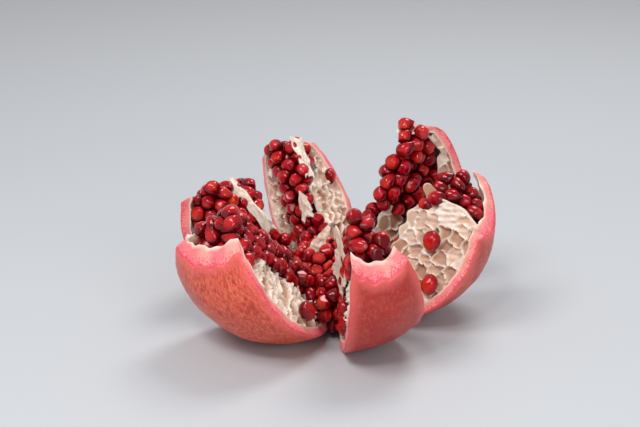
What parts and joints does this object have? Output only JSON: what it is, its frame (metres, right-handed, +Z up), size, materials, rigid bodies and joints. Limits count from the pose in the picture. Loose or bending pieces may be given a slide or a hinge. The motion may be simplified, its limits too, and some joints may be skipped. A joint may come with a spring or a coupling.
{
  "type": "open pomegranate",
  "caption": "Ripe pomegranate with its crown sliced off, scored into wedges and folded open like a flower, full of ruby seeds.",
  "frame": {"origin": "middle of the object's box, on the surface that it rests on", "axes": "+Z up; +Y from the front towards the back wedges; +X to the right seen from the front"},
  "size_m": [0.145, 0.1574, 0.0832],
  "materials": {
    "rind": "satin skin, mottled coral and brick red with ochre specks, cream pith on the cut faces",
    "membrane": "thin cream papery skin, slightly translucent",
    "aril": "wet, glossy, translucent ruby red"
  },
  "bodies": {
    "root": {"rind": "rind", "aril_right_face": "aril", "aril_right_low": "aril", "aril_right_lower": "aril", "aril_front_left_low": "aril", "aril_back_left_edge": "aril", "membrane_front_right": "membrane", "membrane_left": "membrane", "membrane_back_left": "membrane", "membrane_back_left_flap": "membrane", "membrane_centre": "membrane", "arils_front_left": "aril", "arils_front_right": "aril", "arils_right": "aril", "arils_back_right": "aril", "arils_back_left": "aril", "arils_left": "aril", "arils_centre": "aril"}
  },
  "joints": []
}
